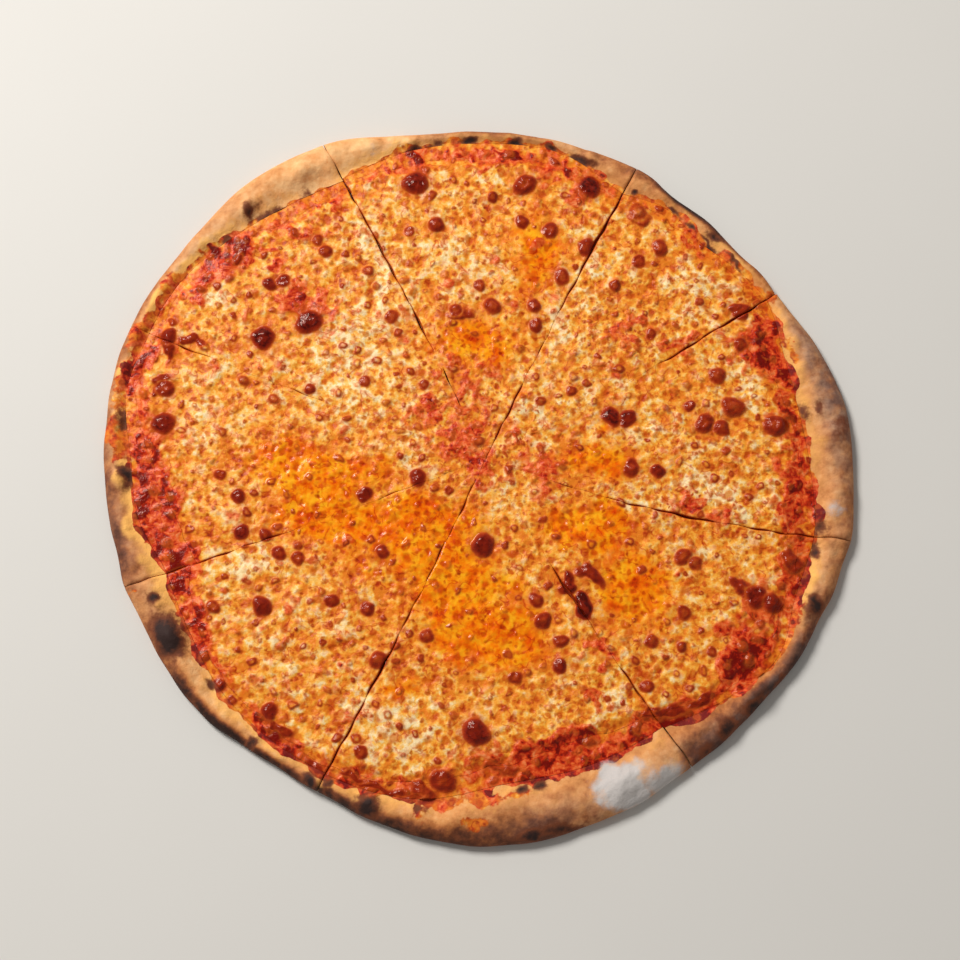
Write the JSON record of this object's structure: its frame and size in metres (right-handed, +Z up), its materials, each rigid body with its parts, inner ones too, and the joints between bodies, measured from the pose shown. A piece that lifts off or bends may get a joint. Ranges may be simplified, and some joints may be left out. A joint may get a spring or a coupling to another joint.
{
  "type": "margherita pizza",
  "caption": "Whole round cheese and tomato pizza with a thin base and an uneven browned rim, knife-cut into wedges that lie together and rest flat.",
  "frame": {"origin": "centre of the bounding box, on the surface that the pizza lies on", "axes": "+Z up, +Y towards the far side of the pizza in the picture, +X to its right"},
  "size_m": [0.4416, 0.4306, 0.013],
  "materials": {
    "crust": "baked dough, pale tan with brown and near-black charred spots, floury in places",
    "sauce": "cooked tomato, moist",
    "cheese": "melted mozzarella, browned in spots and oily"
  },
  "bodies": {
    "root": {"crust_1": "crust", "crust_2": "crust", "crust_3": "crust", "crust_4": "crust", "crust_5": "crust", "crust_6": "crust", "crust_7": "crust", "crust_8": "crust", "sauce_1": "sauce", "sauce_2": "sauce", "sauce_3": "sauce", "sauce_4": "sauce", "sauce_5": "sauce", "sauce_6": "sauce", "sauce_7": "sauce", "sauce_8": "sauce", "cheese_1": "cheese", "cheese_2": "cheese", "cheese_3": "cheese", "cheese_4": "cheese", "cheese_5": "cheese", "cheese_6": "cheese", "cheese_7": "cheese", "cheese_8": "cheese"}
  },
  "joints": []
}
